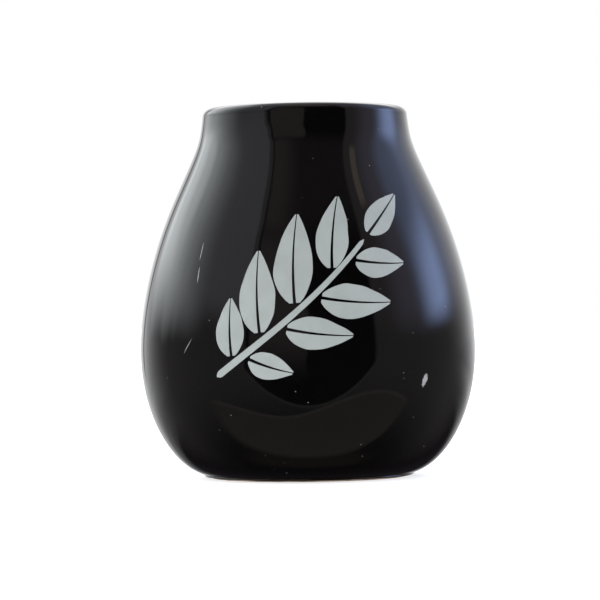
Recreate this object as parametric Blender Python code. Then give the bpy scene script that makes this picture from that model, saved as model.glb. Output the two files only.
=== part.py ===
"""Glazed ceramic mate cup in the shape of a gourd: a round belly, a narrow straight neck and no handle.

Metres, +Z up. The origin is the centre of the foot, on the surface that the cup stands on.
"""

import math

import bmesh
import bpy
from mathutils import Vector
from mathutils.geometry import interpolate_bezier

# Overall size
HEIGHT = 0.100
BELLY_RADIUS = 0.0455
BELLY_HEIGHT = 0.0338

# Wall, with a lip rounded right over
WALL = 0.0046
LIP_RADIUS = WALL / 2

# Neck, which widens a little downwards from the lip
NECK_RADIUS = 0.0278
NECK_FLARE = math.radians(7.3)
NECK_CURVE = 0.0073

# Shoulder, where the side turns from hollow to full
SHOULDER_RADIUS = 0.03515
SHOULDER_HEIGHT = 0.0766
SHOULDER_SLOPE = math.radians(65.0)
SHOULDER_CURVE = 0.01615
BELLY_CURVE = 0.0120

# Heel, between the belly and the foot
HEEL_RISE = 0.0179
HEEL_REACH = 0.00925
HEEL_LIFT = 0.0007

# Foot ring, with a shallow recess inside it
FOOT_RADIUS = 0.02675
FOOT_EDGE = 0.0005
FOOT_WIDTH = 0.0040
RECESS_DEPTH = 0.0016
RECESS_SLOPE = 0.0012

# Inside floor, slightly dished
FLOOR_HEIGHT = 0.0062
FLOOR_RADIUS = 0.0190
FLOOR_DISH = 0.0004

# How finely the turned shape is cut into faces
SEGMENTS = 64
NECK_STEPS = 8
BELLY_STEPS = 8
HEEL_STEPS = 9
LIP_STEPS = 6
EDGE_STEPS = 2

MERGE_DISTANCE = 1e-6


def clear_scene():
    for obj in list(bpy.data.objects):
        bpy.data.objects.remove(obj, do_unlink=True)


def point(radius, height):
    return Vector((radius, 0.0, height))


def curve(start, start_handle, end_handle, end, steps):
    """Points of one Bezier stretch, with both its ends."""
    return interpolate_bezier(start, start_handle, end_handle, end, steps + 1)


def arc(centre, radius, start_angle, end_angle, steps):
    """Points of a circular arc, with both its ends. Angle 0 points away from the axis and 90 degrees up."""
    found = []
    for step in range(steps + 1):
        angle = start_angle + (end_angle - start_angle) * step / steps
        found.append(centre + radius * point(math.cos(angle), math.sin(angle)))
    return found


def outer_wall():
    """The outside of the cup from just under the lip down to the top of the foot's edge."""
    lip_base = point(NECK_RADIUS, HEIGHT - LIP_RADIUS)
    down_neck = point(math.sin(NECK_FLARE), -math.cos(NECK_FLARE))
    shoulder = point(SHOULDER_RADIUS, SHOULDER_HEIGHT)
    down_shoulder = point(math.cos(SHOULDER_SLOPE), -math.sin(SHOULDER_SLOPE))
    belly = point(BELLY_RADIUS, BELLY_HEIGHT)
    foot_top = point(FOOT_RADIUS, FOOT_EDGE)

    neck = curve(
        lip_base,
        lip_base + NECK_CURVE * down_neck,
        shoulder - SHOULDER_CURVE * down_shoulder,
        shoulder,
        NECK_STEPS,
    )
    full_side = curve(
        shoulder,
        shoulder + SHOULDER_CURVE * down_shoulder,
        belly + point(0.0, BELLY_CURVE),
        belly,
        BELLY_STEPS,
    )
    heel = curve(
        belly,
        belly - point(0.0, HEEL_RISE),
        foot_top + point(HEEL_REACH, HEEL_LIFT),
        foot_top,
        HEEL_STEPS,
    )
    return neck + full_side[1:] + heel[1:]


def offset_inwards(path):
    """The path moved one wall thickness to the side that faces the drink."""
    moved = []
    for index, here in enumerate(path):
        before = path[max(index - 1, 0)]
        after = path[min(index + 1, len(path) - 1)]
        along = (after - before).normalized()
        moved.append(here + WALL * point(along.z, -along.x))
    return moved


def cavity():
    """The inside from the middle of the floor up to the lip."""
    wall = offset_inwards(outer_wall())
    wall[0] = point(NECK_RADIUS - WALL, HEIGHT - LIP_RADIUS)
    side = [p for p in reversed(wall) if p.z > FLOOR_HEIGHT + FLOOR_DISH]
    floor = [point(0.0, FLOOR_HEIGHT - FLOOR_DISH), point(FLOOR_RADIUS, FLOOR_HEIGHT)]
    return floor + side


def foot():
    """The ring that the cup stands on, and the recess inside it, out to in."""
    outer_edge = FOOT_RADIUS - FOOT_EDGE
    edge = arc(point(outer_edge, FOOT_EDGE), FOOT_EDGE, 0.0, -math.pi / 2, EDGE_STEPS)
    recess = [
        point(outer_edge - FOOT_WIDTH, 0.0),
        point(outer_edge - FOOT_WIDTH - RECESS_SLOPE, RECESS_DEPTH),
        point(0.0, RECESS_DEPTH),
    ]
    return edge[1:] + recess


def cup_profile():
    """Half of the cup's section, from the inside floor over the lip to the middle of the underside."""
    lip = arc(point(NECK_RADIUS - LIP_RADIUS, HEIGHT - LIP_RADIUS), LIP_RADIUS, math.pi, 0.0, LIP_STEPS)
    return cavity() + lip[1:-1] + outer_wall() + foot()


def surface_material(name, colour, roughness):
    material = bpy.data.materials.new(name)
    material.use_nodes = True
    shader = material.node_tree.nodes["Principled BSDF"]
    shader.inputs["Base Color"].default_value = (*colour, 1.0)
    shader.inputs["Roughness"].default_value = roughness
    shader.inputs["Metallic"].default_value = 0.0
    return material


def make_cup():
    mesh = bpy.data.meshes.new("cup")
    shape = bmesh.new()
    section = [shape.verts.new(p) for p in cup_profile()]
    edges = [shape.edges.new(pair) for pair in zip(section, section[1:])]
    bmesh.ops.spin(
        shape,
        geom=section + edges,
        cent=(0.0, 0.0, 0.0),
        axis=(0.0, 0.0, 1.0),
        angle=math.tau,
        steps=SEGMENTS,
        use_merge=True,
    )
    bmesh.ops.remove_doubles(shape, verts=shape.verts[:], dist=MERGE_DISTANCE)
    bmesh.ops.recalc_face_normals(shape, faces=shape.faces[:])
    for face in shape.faces:
        # The ring and its edge are bare where the cup stands in the kiln.
        bare = max(v.co.z for v in face.verts) < FOOT_EDGE + MERGE_DISTANCE
        face.material_index = 1 if bare else 0
    shape.to_mesh(mesh)
    shape.free()
    mesh.shade_smooth()
    mesh.set_sharp_from_angle(angle=math.radians(35))
    mesh.materials.append(surface_material("black_glaze", (0.004, 0.004, 0.0045), 0.06))
    mesh.materials.append(surface_material("bare_clay", (0.30, 0.23, 0.165), 0.85))
    cup = bpy.data.objects.new("cup", mesh)
    bpy.context.scene.collection.objects.link(cup)


clear_scene()
make_cup()
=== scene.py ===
# A mate cup in glossy black glaze, standing on a pale floor.
# Everything is in metres, +Z up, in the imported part's own frame.
import math

import bmesh
import bpy
from mathutils import Matrix, Vector, noise
from mathutils.geometry import interpolate_bezier


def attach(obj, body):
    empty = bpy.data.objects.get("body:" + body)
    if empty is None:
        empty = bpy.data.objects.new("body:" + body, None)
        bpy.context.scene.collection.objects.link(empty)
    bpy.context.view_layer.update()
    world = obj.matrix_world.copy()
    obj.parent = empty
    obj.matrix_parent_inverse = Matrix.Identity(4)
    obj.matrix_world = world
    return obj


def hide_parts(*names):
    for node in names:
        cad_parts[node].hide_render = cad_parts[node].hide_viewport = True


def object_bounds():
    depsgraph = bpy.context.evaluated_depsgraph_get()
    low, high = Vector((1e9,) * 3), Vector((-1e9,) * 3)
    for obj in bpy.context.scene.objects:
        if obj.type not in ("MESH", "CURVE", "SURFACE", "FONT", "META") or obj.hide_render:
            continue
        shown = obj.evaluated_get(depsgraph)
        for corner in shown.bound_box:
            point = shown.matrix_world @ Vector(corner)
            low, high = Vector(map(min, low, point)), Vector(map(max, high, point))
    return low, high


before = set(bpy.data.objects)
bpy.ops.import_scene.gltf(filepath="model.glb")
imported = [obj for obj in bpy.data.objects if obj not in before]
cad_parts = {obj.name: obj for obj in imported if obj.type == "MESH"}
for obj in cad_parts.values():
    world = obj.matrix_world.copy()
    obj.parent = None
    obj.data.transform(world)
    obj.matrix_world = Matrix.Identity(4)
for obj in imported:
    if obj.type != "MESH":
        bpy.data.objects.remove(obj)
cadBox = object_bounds()
mm = 0.001


# Shader helpers

class Wire:
    # An output socket. Sums and products of wires add their Math nodes.
    def __init__(self, shader, socket):
        self.shader = shader
        self.socket = socket

    def math(self, operation, *others):
        values = dict(enumerate((self, *others)))
        return self.shader.wire("ShaderNodeMath", {"operation": operation}, values)

    def __add__(self, other):
        return self.math("ADD", other)

    def __sub__(self, other):
        return self.math("SUBTRACT", other)

    def __mul__(self, other):
        return self.math("MULTIPLY", other)

    def __truediv__(self, other):
        return self.math("DIVIDE", other)

    def __pow__(self, other):
        return self.math("POWER", other)

    def __rsub__(self, other):
        return (self * -1.0) + other

    def __neg__(self):
        return self * -1.0

    __radd__ = __add__
    __rmul__ = __mul__

    def rise(self, low, high):
        # 0 below low, 1 above high, with a soft step between them
        return self.shader.wire(
            "ShaderNodeMapRange",
            {"interpolation_type": "SMOOTHSTEP"},
            {"Value": self, "From Min": low, "From Max": high},
        )

    def fall(self, low, high):
        return 1.0 - self.rise(low, high)

    def band(self, start, full, end, gone):
        return self.rise(start, full) * self.fall(end, gone)


class Shader:
    def __init__(self, tree):
        self.tree = tree

    def node(self, kind, settings=None, inputs=None):
        made = self.tree.nodes.new(kind)
        for name, value in (settings or {}).items():
            setattr(made, name, value)
        for name, value in (inputs or {}).items():
            if isinstance(value, Wire):
                self.tree.links.new(value.socket, made.inputs[name])
            else:
                made.inputs[name].default_value = value
        return made

    def wire(self, kind, settings=None, inputs=None, output=0):
        return Wire(self, self.node(kind, settings, inputs).outputs[output])

    def split(self, vector):
        parts = self.node("ShaderNodeSeparateXYZ", None, {"Vector": vector})
        return [Wire(self, parts.outputs[axis]) for axis in "XYZ"]

    def mix(self, factor, under, over):
        # Blends two colours: all under at 0, all over at 1
        inputs = {0: factor, 6: colour(under), 7: colour(over)}
        return self.wire("ShaderNodeMix", {"data_type": "RGBA"}, inputs, 2)

    def noise(self, place, scale, detail=2.0, roughness=0.5):
        inputs = {"Vector": place, "Scale": scale, "Detail": detail, "Roughness": roughness}
        return self.wire("ShaderNodeTexNoise", None, inputs)


def colour(value):
    return value if isinstance(value, Wire) else (*value, 1.0)


def newMaterial(name, settings):
    # A material with its fixed values set on the Principled shader's own sockets
    material = bpy.data.materials.new(name)
    material.use_nodes = True
    shader = Shader(material.node_tree)
    principled = material.node_tree.nodes["Principled BSDF"]
    for socket, value in settings.items():
        principled.inputs[socket].default_value = value
    place = shader.wire("ShaderNodeTexCoord", None, None, "Object")
    return material, shader, principled, place


def feed(shader, principled, socket, value):
    shader.tree.links.new(value.socket, principled.inputs[socket])


def addBump(shader, principled, layers):
    # Layers of (height, depth in metres), each on top of the one before
    normal = None
    for height, depth in layers:
        inputs = {"Height": height, "Strength": 1.0, "Distance": depth}
        if normal:
            inputs["Normal"] = normal
        normal = shader.wire("ShaderNodeBump", None, inputs)
    feed(shader, principled, "Normal", normal)


# Shape helpers

def point(radius, height):
    return Vector((radius, 0.0, height))


def arc(centre, radius, startAngle, endAngle, steps):
    found = []
    for step in range(steps + 1):
        angle = math.radians(startAngle + (endAngle - startAngle) * step / steps)
        found.append(centre + radius * point(math.cos(angle), math.sin(angle)))
    return found


def turn(path, segments, closed=False):
    # A bmesh of the path turned all the way round Z
    shape = bmesh.new()
    corners = [shape.verts.new(p) for p in path]
    pairs = list(zip(corners, corners[1:]))
    if closed:
        pairs.append((corners[-1], corners[0]))
    edges = [shape.edges.new(pair) for pair in pairs]
    bmesh.ops.spin(
        shape, geom=corners + edges, cent=(0, 0, 0), axis=(0, 0, 1),
        angle=math.tau, steps=segments, use_merge=True,
    )
    bmesh.ops.remove_doubles(shape, verts=shape.verts[:], dist=0.0001 * mm)
    bmesh.ops.recalc_face_normals(shape, faces=shape.faces[:])
    return shape


def finishPiece(shape, name, material, sharpAngle=40):
    mesh = bpy.data.meshes.new(name)
    shape.to_mesh(mesh)
    shape.free()
    mesh.shade_smooth()
    mesh.set_sharp_from_angle(angle=math.radians(sharpAngle))
    mesh.materials.append(material)
    piece = bpy.data.objects.new(name, mesh)
    bpy.context.scene.collection.objects.link(piece)
    return piece


# The cup's form, the same as in the part's source

cup = {
    "height": cadBox[1].z,
    "bellyRadius": cadBox[1].x,
    "bellyHeight": 33.8 * mm,
    "wall": 4.6 * mm,
    "neckRadius": 27.8 * mm,
    "neckFlare": math.radians(7.3),
    "neckCurve": 7.3 * mm,
    "shoulderRadius": 35.15 * mm,
    "shoulderHeight": 76.6 * mm,
    "shoulderSlope": math.radians(65.0),
    "shoulderCurve": 16.15 * mm,
    "bellyCurve": 12.0 * mm,
    "heelRise": 17.9 * mm,
    "heelReach": 9.25 * mm,
    "heelLift": 0.7 * mm,
    "footRadius": 26.75 * mm,
    "footEdge": 0.5 * mm,
    "footWidth": 4.0 * mm,
    "recessDepth": 1.6 * mm,
    "recessSlope": 1.2 * mm,
    "floorHeight": 5.8 * mm,
    "floorReach": 23 * mm,  # how far out the inside floor stays nearly level
    "floorTurnHeight": 11 * mm,  # where the inside wall starts to turn into the floor
    "floorTurnCurve": 4.5 * mm,
    "segments": 320,
    "stretchSteps": 34,
    "smoothingRounds": 12,
}


def outerWall():
    # The outside from just under the lip down to the top of the foot's edge
    lipBase = point(cup["neckRadius"], cup["height"] - cup["wall"] / 2)
    downNeck = point(math.sin(cup["neckFlare"]), -math.cos(cup["neckFlare"]))
    shoulder = point(cup["shoulderRadius"], cup["shoulderHeight"])
    downShoulder = point(math.cos(cup["shoulderSlope"]), -math.sin(cup["shoulderSlope"]))
    belly = point(cup["bellyRadius"], cup["bellyHeight"])
    footTop = point(cup["footRadius"], cup["footEdge"])
    stretches = [
        (lipBase, lipBase + cup["neckCurve"] * downNeck,
         shoulder - cup["shoulderCurve"] * downShoulder, shoulder),
        (shoulder, shoulder + cup["shoulderCurve"] * downShoulder,
         belly + point(0, cup["bellyCurve"]), belly),
        (belly, belly - point(0, cup["heelRise"]),
         footTop + point(cup["heelReach"], cup["heelLift"]), footTop),
    ]
    path = []
    for stretch in stretches:
        path += interpolate_bezier(*stretch, cup["stretchSteps"] + 1)[:-1]
    return path + [footTop]


def smoothed(path, rounds):
    # Evens out the curvature where two stretches meet, so that reflections run on without a kink
    path = list(path)
    for _ in range(rounds):
        inner = [(a + 2 * b + c) / 4 for a, b, c in zip(path, path[1:], path[2:])]
        path = [path[0], *inner, path[-1]]
    return path


def offsetInwards(path, distance):
    moved = []
    for index, here in enumerate(path):
        along = (path[min(index + 1, len(path) - 1)] - path[max(index - 1, 0)]).normalized()
        moved.append(here + distance * point(along.z, -along.x))
    return moved


outerPath = smoothed(outerWall(), cup["smoothingRounds"])


def wallAt(height):
    # Radius of the outside at a height, and the direction that faces straight out there
    for upper, lower in zip(outerPath, outerPath[1:]):
        if lower.z <= height <= upper.z:
            share = (upper.z - height) / (upper.z - lower.z)
            along = (lower - upper).normalized()
            return upper.lerp(lower, share).x, point(-along.z, along.x)
    raise ValueError(f"there is no wall at {height}")


def ringEdges():
    # Outer and inner radius of the flat that the cup stands on
    outer = cup["footRadius"] - cup["footEdge"]
    return outer, outer - cup["footWidth"]


# The glazed body

glaze = {
    "lineHeight": 0.62 * mm,  # where the glaze ends above the foot
    "beadRadius": 0.14 * mm,
    "lineWander": 0.16 * mm,
    "wanderPace": 3.52,
    "wanderTop": 1.6 * mm,  # the wandering has died away at this height
    "tuck": 0.4 * mm,  # how deep the glazed body is sunk in the clay ring
    "colour": (0.0008, 0.0008, 0.0009),
    "roughness": 0.035,
    "mottleSize": 9 * mm,
    "waveSize": 22 * mm,
    "waveDepth": 0.035 * mm,
    "peelSize": 1.6 * mm,
    "peelDepth": 0.0008 * mm,
    "thinColour": (0.016, 0.011, 0.008),
    "thinAtLip": 0.42 * mm,
    "thinAtFoot": 1.05 * mm,
    "thinFade": 0.35 * mm,
    "raggedSize": 3 * mm,
    "raggedDepth": 0.5 * mm,
    "speckColour": (0.31, 0.31, 0.30),
    "speckSpacing": 2.8 * mm,
    "speckRadius": 0.13 * mm,
    # pale colour of the chip and scratches: a painted glint of the side windows in them
    "glintedWearColour": (0.29, 0.29, 0.285),
    "crumbleSize": 0.6 * mm,
    # bearing in degrees, height, half width, half height and slant of each worn mark, whose pale colour
    # is a painted glint of a side window
    "marks": [
        (42.6, 26.6 * mm, 0.95 * mm, 2.0 * mm, 0.30),
        (-41.9, 61.0 * mm, 0.14 * mm, 2.6 * mm, 0.05),
        (-41.5, 54.8 * mm, 0.17 * mm, 2.2 * mm, -0.02),
        (-43.7, 36.2 * mm, 0.15 * mm, 2.2 * mm, 0.75),
    ],
}


def thinGlaze(shader, place, height):
    # Glaze runs thin over the lip and above the foot, and lets the brown body through
    ragged = (shader.noise(place, 1 / glaze["raggedSize"], 3.0, 0.6) - 0.5) * glaze["raggedDepth"]
    lipEdge = cup["height"] - glaze["thinAtLip"] + ragged
    footEdge = glaze["thinAtFoot"] + ragged
    overLip = (height - lipEdge).rise(0.0, glaze["thinFade"])
    aboveFoot = (height - footEdge).fall(-glaze["thinFade"], 0.1 * mm)
    return overLip + aboveFoot * 0.8


def specks(shader, place):
    # Pinholes and dust caught in the glaze, at most one in each cell and none in some
    inputs = {"Vector": place, "Scale": 1 / glaze["speckSpacing"]}
    cells = shader.node("ShaderNodeTexVoronoi", {"feature": "F1"}, inputs)
    distance = Wire(shader, cells.outputs["Distance"]) * glaze["speckSpacing"]
    luck = shader.wire("ShaderNodeSeparateColor", None, {"Color": Wire(shader, cells.outputs["Color"])})
    size = luck.rise(0.35, 0.9) * glaze["speckRadius"]
    return (size - distance).rise(-0.02 * mm, 0.05 * mm) * luck.rise(0.35, 0.5)


def glintedWearMarks(shader, place, x, y, height):
    # A chip and a few fine scratches from use, each a leaning oval with a crumbled edge. Their pale
    # colour is a painted glint, standing in for the side windows mirrored in them.
    crumble = shader.noise(place, 1 / glaze["crumbleSize"], 3.0, 0.7)
    glintedWear = None
    for degrees, middle, halfWidth, halfHeight, slant in glaze["marks"]:
        turned = math.radians(degrees)
        along = x * math.cos(turned) + y * math.sin(turned)
        facing = x * math.sin(turned) - y * math.cos(turned)
        above = height - middle
        oval = ((along - above * slant) / halfWidth) ** 2.0 + (above / halfHeight) ** 2.0
        mark = (oval + crumble * 1.6).fall(1.2, 1.7) * facing.rise(0.0, 5 * mm)
        glintedWear = mark if glintedWear is None else glintedWear.math("MAXIMUM", mark)
    return glintedWear


def glazeMaterial():
    material, shader, principled, place = newMaterial(
        "blackGlaze", {"IOR": 1.5, "Roughness": glaze["roughness"], "Metallic": 0.0}
    )
    x, y, height = shader.split(place)
    speck = specks(shader, place)
    glintedWear = glintedWearMarks(shader, place, x, y, height)
    tone = shader.mix(thinGlaze(shader, place, height), glaze["colour"], glaze["thinColour"])
    tone = shader.mix(speck, tone, glaze["speckColour"])
    # the chip and scratches get a painted glint: pale colour where the side windows would mirror in them
    tone = shader.mix(glintedWear, tone, glaze["glintedWearColour"])
    feed(shader, principled, "Base Color", tone)

    mottle = shader.noise(place, 1 / glaze["mottleSize"], 4.0, 0.6)
    gloss = (mottle * 0.6 + 0.7) * glaze["roughness"]
    feed(shader, principled, "Roughness", gloss + speck * 0.4 + glintedWear * 0.5)

    wave = shader.noise(place, 1 / glaze["waveSize"], 1.0, 0.4)
    peel = shader.noise(place, 1 / glaze["peelSize"], 1.0, 0.4)
    addBump(shader, principled, [(wave, glaze["waveDepth"]), (peel, glaze["peelDepth"])])
    return material


def insidePath():
    # From the middle of the slightly dished floor up the inside, which runs parallel to the outside
    inside = [p for p in offsetInwards(outerPath, cup["wall"]) if p.z > cup["floorTurnHeight"]]
    turnIn = (inside[-1] - inside[-2]).normalized() * cup["floorTurnCurve"]
    floorMiddle = point(0, cup["floorHeight"])
    floorEdge = floorMiddle + point(cup["floorReach"], 0)
    floor = interpolate_bezier(floorMiddle, floorEdge, inside[-1] + turnIn, inside[-1], 30)
    return floor[:-1] + inside[::-1]


def undersidePath():
    # From inside the clay ring, over the rounded edge of the recess, to the middle
    outer, inner = ringEdges()
    slope = cup["recessSlope"]
    depth = cup["recessDepth"]
    return [
        point(outer - glaze["tuck"], glaze["tuck"]),
        point(inner + glaze["tuck"], glaze["tuck"]),
        point(inner - 0.35 * slope, 0.5 * mm),
        point(inner - 0.85 * slope, depth - 0.2 * mm),
        point(inner - 1.4 * slope, depth),
        point(0, depth),
    ]


def wanderLowerEdge(shape):
    # Moves the lower edge of the glaze a little up and down
    outer, _ = ringEdges()
    for vertex in shape.verts:
        radius = Vector((vertex.co.x, vertex.co.y)).length
        if vertex.co.z < glaze["wanderTop"] and radius > outer:
            above = max(0.0, vertex.co.z - glaze["lineHeight"])
            share = 1 - above / (glaze["wanderTop"] - glaze["lineHeight"])
            wander = noise.noise(vertex.co.normalized() * glaze["wanderPace"])
            vertex.co.z += share * glaze["lineWander"] * wander


def makeGlazedBody():
    halfWall = cup["wall"] / 2
    lip = arc(point(cup["neckRadius"] - halfWall, cup["height"] - halfWall), halfWall, 180, 0, 20)
    outside = [p for p in outerPath if p.z > glaze["lineHeight"] + glaze["beadRadius"]]
    beadMiddle = point(outside[-1].x - glaze["beadRadius"] * 0.4, glaze["lineHeight"])
    bead = arc(beadMiddle, glaze["beadRadius"], 0, -120, 6)
    shape = turn(insidePath() + lip[1:-1] + outside + bead + undersidePath(), cup["segments"])
    wanderLowerEdge(shape)
    return finishPiece(shape, "glazed_body", glazeMaterial())


body = makeGlazedBody()
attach(body, "root")
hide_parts("cup")
print("glazed body made")


# The bare foot ring

clay = {
    "light": (0.40, 0.34, 0.27),
    "dark": (0.24, 0.195, 0.15),
    "soot": (0.06, 0.05, 0.04),
    "cloudSize": 4 * mm,
    "grainSize": 0.35 * mm,
    "grainDepth": 0.02 * mm,
    "innerRounding": 0.25 * mm,
    "top": 0.9 * mm,  # inside the glazed body, out of sight
}


def clayMaterial():
    material, shader, principled, place = newMaterial(
        "bareClay", {"Roughness": 0.85, "Specular IOR Level": 0.3}
    )
    cloud = shader.noise(place, 1 / clay["cloudSize"], 3.0, 0.6)
    grain = shader.noise(place, 1 / clay["grainSize"], 2.0, 0.6)
    tone = shader.mix(cloud.rise(0.35, 0.7), clay["light"], clay["dark"])
    tone = shader.mix(grain.rise(0.62, 0.75) * 0.6, tone, clay["soot"])
    feed(shader, principled, "Base Color", tone)
    addBump(shader, principled, [(grain, clay["grainDepth"])])
    return material


def makeFootRing():
    outer, inner = ringEdges()
    edge = cup["footEdge"]
    rounding = clay["innerRounding"]
    path = arc(point(outer - 0.03 * mm, edge), edge, 30, -90, 8)
    path += arc(point(inner + rounding, rounding), rounding, -90, -160, 4)
    path += [
        point(inner - 0.3 * cup["recessSlope"], 0.62 * mm),
        point(inner + 0.6 * mm, clay["top"]),
        point(outer - 0.3 * mm, clay["top"]),
    ]
    return finishPiece(turn(path, cup["segments"], closed=True), "foot_ring", clayMaterial())


footRing = makeFootRing()
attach(footRing, "root")
print("foot ring made")


# The printed sprig

sprig = {
    "middle": (-0.3 * mm, 49.8 * mm),
    "stem": [(-24.5, -21.5), (-13.0, -13.5), (1.0, -4.0), (15.5, 13.5)],  # Bezier points in mm
    "stemWidth": 1.9 * mm,
    "veinGap": 0.85 * mm,
    "leafBend": 0.12,
    "leafWobble": 0.06,
    "proud": 0.07 * mm,
    "sunk": 0.06 * mm,
    "pale": (0.35, 0.387, 0.377),
    "deep": (0.30, 0.335, 0.322),
    "roughness": 0.42,
    "cloudSize": 6 * mm,
    "grainSize": 0.22 * mm,
    "grainDepth": 0.006 * mm,
    # place along the stem, side, angle to the stem, length and width in mm
    "leaves": [
        (0.13, 1, 62, 15.5, 8.8),
        (0.21, -1, 60, 12.5, 7.6),
        (0.34, 1, 60, 22.0, 10.6),
        (0.46, -1, 52, 18.0, 9.2),
        (0.57, 1, 54, 24.0, 11.0),
        (0.68, -1, 54, 19.5, 9.8),
        (0.80, 1, 46, 19.5, 9.4),
        (0.90, -1, 58, 14.5, 8.4),
        (1.00, 0, 0, 14.0, 8.6),
    ],
}


def printMaterial():
    material, shader, principled, place = newMaterial(
        "paleEnamel", {"Roughness": sprig["roughness"], "IOR": 1.5}
    )
    cloud = shader.noise(place, 1 / sprig["cloudSize"], 3.0, 0.55)
    grain = shader.noise(place, 1 / sprig["grainSize"], 2.0, 0.6)
    tone = shader.mix(cloud.rise(0.3, 0.7) * 0.6 + grain * 0.4, sprig["pale"], sprig["deep"])
    feed(shader, principled, "Base Color", tone)
    addBump(shader, principled, [(grain, sprig["grainDepth"])])
    return material


def leftOf(direction):
    return Vector((-direction.y, direction.x))


def stemPoint(share):
    # Place and direction along the stem, in metres on the flat drawing
    a, b, c, d = [Vector(p) * mm for p in sprig["stem"]]
    rest = 1 - share
    place = a * rest ** 3 + b * 3 * rest ** 2 * share + c * 3 * rest * share ** 2 + d * share ** 3
    along = (b - a) * rest ** 2 + (c - b) * 2 * rest * share + (d - c) * share ** 2
    return place, along.normalized()


def stemPlace(share, across):
    # The stem grows thinner towards its tip, and both its ends are round
    place, along = stemPoint(share)
    roundEnd = min(1.0, share / 0.025, (1 - share) / 0.02) ** 0.5
    width = sprig["stemWidth"] * (1 - 0.35 * share) * max(roundEnd, 0.15)
    return place + leftOf(along) * width * (across - 0.5)


def leafFullness(share):
    # A leaf's half width from its foot to its tip, at most 1
    return math.sin(math.pi * share ** 0.82) ** 0.8 * (1 - 0.18 * share)


def addStrip(shape, acrossSteps, alongSteps, placeOf):
    # A flat grid whose points are then put where the drawing wants them
    made = bmesh.ops.create_grid(shape, x_segments=alongSteps, y_segments=acrossSteps, size=0.5)
    for vertex in made["verts"]:
        spot = placeOf(vertex.co.x + 0.5, vertex.co.y + 0.5)
        vertex.co = (spot.x, spot.y, 0)


def addLeaf(shape, root, heading, length, width, bend):
    # Two halves with a gap for the vein between them, which closes towards the tip
    for half in (1, -1):
        def placeOf(share, across, half=half):
            share = 0.03 + 0.95 * share
            spine = root + heading * length * share + leftOf(heading) * bend * length * share ** 2
            wobble = noise.noise(Vector((share * 5, half * 3, root.x * 900)))
            fullness = leafFullness(share) * (1 + sprig["leafWobble"] * wobble)
            outer = max(fullness * width / 2, sprig["veinGap"] / 2)
            gap = sprig["veinGap"] / 2 * (1 - 0.75 * share)
            return spine + leftOf(heading) * half * (gap + (outer - gap) * across)
        addStrip(shape, 4, 22, placeOf)


def wrapOnWall(shape):
    # Takes the flat drawing round the cup, each point a little proud of the glaze
    middleX, middleZ = sprig["middle"]
    for vertex in shape.verts:
        height = middleZ + vertex.co.y
        radius, out = wallAt(height)
        angle = (middleX + vertex.co.x) / radius
        spot = point(radius, height) + out * sprig["proud"]
        vertex.co = Vector((spot.x * math.sin(angle), -spot.x * math.cos(angle), spot.z))


def makeSprig():
    shape = bmesh.new()
    addStrip(shape, 2, 60, stemPlace)
    for share, side, angle, length, width in sprig["leaves"]:
        root, heading = stemPoint(share)
        heading.rotate(Matrix.Rotation(math.radians(angle * side), 2))
        root += heading * sprig["stemWidth"] * 0.9
        addLeaf(shape, root, heading, length * mm, width * mm, -sprig["leafBend"] * side)
    wrapOnWall(shape)
    bmesh.ops.recalc_face_normals(shape, faces=shape.faces[:])
    bmesh.ops.solidify(shape, geom=shape.faces[:], thickness=sprig["proud"] + sprig["sunk"])
    bmesh.ops.recalc_face_normals(shape, faces=shape.faces[:])
    return finishPiece(shape, "leaf_print", printMaterial(), 50)


leafPrint = makeSprig()
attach(leafPrint, "root")
print("printed sprig made")


# Floor, light and camera

studio = {
    "floorRadius": 6.0,
    "floorLight": (0.86, 0.86, 0.86),
    "floorDark": (0.80, 0.80, 0.80),
    "floorGlow": 0.75,
    "frontPlace": (-0.9, -1.0, 0.26),
    "frontTarget": (0, 0, 0.05),
    "frontSize": 0.5,
    "frontPower": 2.0,
    "skyPower": 1.6,
    "skyAngle": math.radians(110),
    "cameraDistance": 0.8,
    "cameraHeight": 46.1 * mm,
    "lens": 176.7,
    "pitch": 0.0023,
    "yaw": 0.00246,
    "roll": -0.0138,
}


def makeFloor():
    shape = bmesh.new()
    bmesh.ops.create_circle(shape, cap_ends=True, segments=96, radius=studio["floorRadius"])
    material, shader, principled, place = newMaterial("paleFloor", {
        "Roughness": 0.9,
        "Specular IOR Level": 0.1,
        "Emission Color": (1, 1, 1, 1),
        "Emission Strength": studio["floorGlow"],
    })
    grain = shader.noise(place, 40.0)
    tone = shader.mix(grain * 0.02, studio["floorLight"], studio["floorDark"])
    feed(shader, principled, "Base Color", tone)
    floor = finishPiece(shape, "floor", material)
    floor.visible_glossy = False  # the glaze mirrors the room's own table top in its place


def addLight(name, kind, power):
    # Brightens matt surfaces, but leaves no shape of its own in the glaze
    light = bpy.data.objects.new(name, bpy.data.lights.new(name, kind))
    light.data.energy = power
    light.visible_glossy = False
    light.visible_camera = False
    bpy.context.scene.collection.objects.link(light)
    return light


def makeLights():
    front = addLight("frontLeft", "AREA", studio["frontPower"])
    front.data.shape = "DISK"
    front.data.size = studio["frontSize"]
    front.location = studio["frontPlace"]
    away = Vector(studio["frontPlace"]) - Vector(studio["frontTarget"])
    front.rotation_euler = away.to_track_quat("Z", "Y").to_euler()

    # Wide light from above, which keeps the floor white and the cup's shadow soft
    sky = addLight("sky", "SUN", studio["skyPower"])
    sky.data.angle = studio["skyAngle"]


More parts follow.
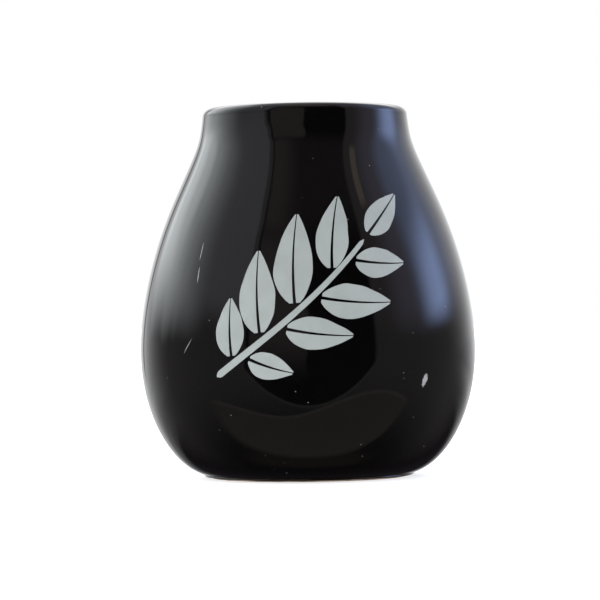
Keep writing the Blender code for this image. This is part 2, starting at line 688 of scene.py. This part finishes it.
# The room that the glaze mirrors. Bearings are in degrees from the camera's side, positive to the right,
# and lifts are in degrees above the level of the table.
room = {
    "dark": (0.028, 0.024, 0.027),
    "upperDark": (0.105, 0.088, 0.088),
    "underCup": (0.088, 0.076, 0.064),
    "walls": (0.23, 0.215, 0.215),
    "ceiling": (0.72, 0.61, 0.57),
    "backdrop": (1.20, 1.21, 1.23),
    "tableTop": (0.235, 0.205, 0.178),
    "tableEdge": (0.34, 0.31, 0.29),
    "doorLeft": (41, 44),
    "doorRight": (45, 49),
    "doorBottom": -33.5,
    "doorRoundness": 0.0125,  # degrees that its bottom rises for each square degree to the side
    "tableFront": -31,
    "tableWave": 9.5,  # degrees that the table's front edge swings up and down
    "tableAcross": (-76, -62, 81, 84),
}

# Patches of the room: colour, where each one fades in and out sideways and upwards, and its strength.
# Two numbers fade it in, and four fade it in and out again.
patches = {
    "faintDoor": ((0.27, 0.235, 0.225), (-1, 2, 38, 41), (-20, 12, 33, 42), 1.0),
    "faintDoorTop": ((0.27, 0.235, 0.225), (0, 34, 38, 41), (36, 42), 1.0),
    "leftWall": ((0.62, 0.60, 0.65), (43, 47), (7, 19), 1.0),
    "leftFrame": ((0.62, 0.60, 0.65), (40.5, 42, 43, 44.5), (15, 22), 0.35),
    "leftGlow": ((1.02, 1.07, 1.13), (74, 92), (2, 16), 1.0),
    "leftWindow": ((3.2, 3.38, 3.44), (84, 130, 143, 150), (2, 17, 52, 66), 1.35),
    "rightEdge": ((0.28, 0.25, 0.25), (46, 50), (5, 16), 1.0),
    "rightWall": ((0.53, 0.50, 0.63), (54, 76), (2, 16), 1.0),
    "warmEdge": ((0.80, 0.67, 0.57), (54.5, 56.5, 61, 63), (40, 44, 54, 60), 1.0),
    "rightGlow": ((0.78, 0.93, 1.42), (78, 94, 126, 150), (4, 15, 46, 60), 1.0),
    "rightWindow": ((2.1, 2.7, 4.6), (84, 103, 107, 128), (5, 12, 17, 32), 1.0),
    "gap": ((0.028, 0.024, 0.027), (151.5, 153.5, 155.5, 157.5), (-6, -2), 0.65),
    "backLight": ((3.9, 3.85, 3.95), (136, 156), (18, 34, 46, 62), 1.0),
}


class Sight:
    # Where a mirrored ray looks, as wires, and the tone that it has met so far
    def __init__(self, shader):
        self.shader = shader
        way = shader.wire("ShaderNodeTexCoord", None, None, "Generated")
        self.x, y, z = shader.split(way)
        self.towardsCamera = -y
        self.bearing = self.x.math("ARCTAN2", self.towardsCamera) * math.degrees(1)
        self.lift = z.math("ARCSINE") * math.degrees(1)
        self.around = self.bearing.math("ABSOLUTE")
        self.left = -self.bearing

        # Edges are never quite straight once the cup's own unevenness has bent them
        self.edge = self.left + (shader.noise(way, 3.0, 1.0) - 0.5) * 12.0
        upright = shader.wire("ShaderNodeCombineXYZ", None, {"X": self.x * 9.5, "Y": y * 9.5, "Z": z})
        self.streak = shader.noise(upright, 1.0)
        level = shader.wire("ShaderNodeCombineXYZ", None, {"X": self.x, "Y": y, "Z": z * 11.0})
        self.smear = shader.noise(level, 1.0)
        self.tone = room["dark"]

    def blend(self, share, name):
        self.tone = self.shader.mix(share, self.tone, room[name])

    def patch(self, name, sideways, upwards=None, shade=None):
        tone, across, up, strength = patches[name]
        share = extent(sideways, across) * extent(upwards or self.lift, up)
        share = share * (strength if shade is None else strength - shade)
        self.tone = self.shader.mix(share, self.tone, tone)


def extent(wire, limits):
    return wire.rise(*limits) if len(limits) == 2 else wire.band(*limits)


def addMiddle(sight):
    # A dark doorway in the middle, round at the bottom, between dim walls
    bottom = sight.lift - sight.bearing * sight.bearing * room["doorRoundness"] - room["doorBottom"]
    doorway = bottom.rise(-0.6, 0.6)
    doorway = doorway * sight.edge.fall(*room["doorLeft"]) * sight.bearing.fall(*room["doorRight"])
    sight.blend(sight.lift.rise(28, 48), "upperDark")
    sight.blend(sight.lift.fall(-75, -50) * sight.towardsCamera.rise(-0.3, -0.02), "underCup")
    sight.blend((1 - doorway) * sight.around.fall(112, 150) * sight.lift.rise(-65, -5), "walls")
    sight.blend(bottom.band(-1.3, -0.3, 0.3, 1.3) * sight.around.fall(40, 48) * 0.5, "tableEdge")
    sight.patch("faintDoor", sight.edge)
    sight.patch("faintDoorTop", sight.edge)
    sight.blend(sight.lift.rise(52, 64), "ceiling")


def addLeft(sight, sheet):
    # A tall window, which brightens the wall beside it
    sight.patch("leftWall", sight.edge)
    sight.patch("leftFrame", sight.edge)
    sight.patch("leftGlow", sight.left)
    sight.blend(sheet * sight.left.rise(0, 1), "backdrop")
    sight.patch("leftWindow", sight.left, sight.lift + sight.streak * 8.0 - 4.0, sight.streak * 0.75)


def addRight(sight, sheet):
    # A blue window, and the thin warm edge of its frame
    sight.patch("rightEdge", sight.bearing)
    sight.patch("rightWall", sight.bearing)
    sight.patch("warmEdge", sight.bearing)
    sight.patch("rightGlow", sight.bearing)
    sight.patch("rightWindow", sight.bearing)
    sight.blend(sheet * sight.bearing.rise(0, 1), "backdrop")


def addTable(sight):
    # The table top, which ends in a pale wavy edge towards the camera
    swing = ((sight.bearing + 17) * 0.0419).math("COSINE") * room["tableWave"]
    front = sight.lift - room["tableFront"] + swing
    across = (sight.bearing - sight.lift * 0.2).band(*room["tableAcross"])
    sight.blend(front.fall(-0.6, 0.6) * sight.towardsCamera.rise(0.08, 0.24) * across, "tableTop")
    sight.blend(front.band(-1.6, -0.5, 0.5, 1.6) * across * 0.7, "tableEdge")


def makeRoom():
    world = bpy.data.worlds.new("room")
    bpy.context.scene.world = world
    world.use_nodes = True
    shader = Shader(world.node_tree)
    sight = Sight(shader)

    # The white sheet behind the cup hangs a little unevenly
    sheetTop = sight.lift - sight.x * 8.0 + sight.smear * 12.0 - 6.0
    sheet = sight.around.rise(108, 160) * sheetTop.rise(-24, 2)
    addMiddle(sight)
    addLeft(sight, sheet)
    addRight(sight, sheet)
    sight.patch("gap", sight.left)
    sight.patch("backLight", sight.around)
    addTable(sight)

    # The camera itself sees plain white behind the floor
    seen = shader.wire("ShaderNodeLightPath", None, None, "Is Camera Ray")
    tone = shader.mix(seen, sight.tone, (1.0, 1.0, 1.0))
    shader.tree.links.new(tone.socket, world.node_tree.nodes["Background"].inputs["Color"])


def makeCamera():
    lens = bpy.data.cameras.new("camera")
    lens.lens = studio["lens"]
    lens.sensor_width = 36.0
    lens.clip_start = 0.05
    lens.clip_end = 50.0
    camera = bpy.data.objects.new("camera", lens)
    aim = Matrix.Rotation(studio["yaw"], 4, "Z") @ Matrix.Rotation(math.pi / 2 + studio["pitch"], 4, "X")
    aim = aim @ Matrix.Rotation(studio["roll"], 4, "Z")
    camera.matrix_world = Matrix.Translation((0, -studio["cameraDistance"], studio["cameraHeight"])) @ aim
    bpy.context.scene.collection.objects.link(camera)
    bpy.context.scene.camera = camera


makeFloor()
makeRoom()
makeLights()
makeCamera()
bpy.context.scene.view_settings.view_transform = "Standard"
print("floor, light and camera made")
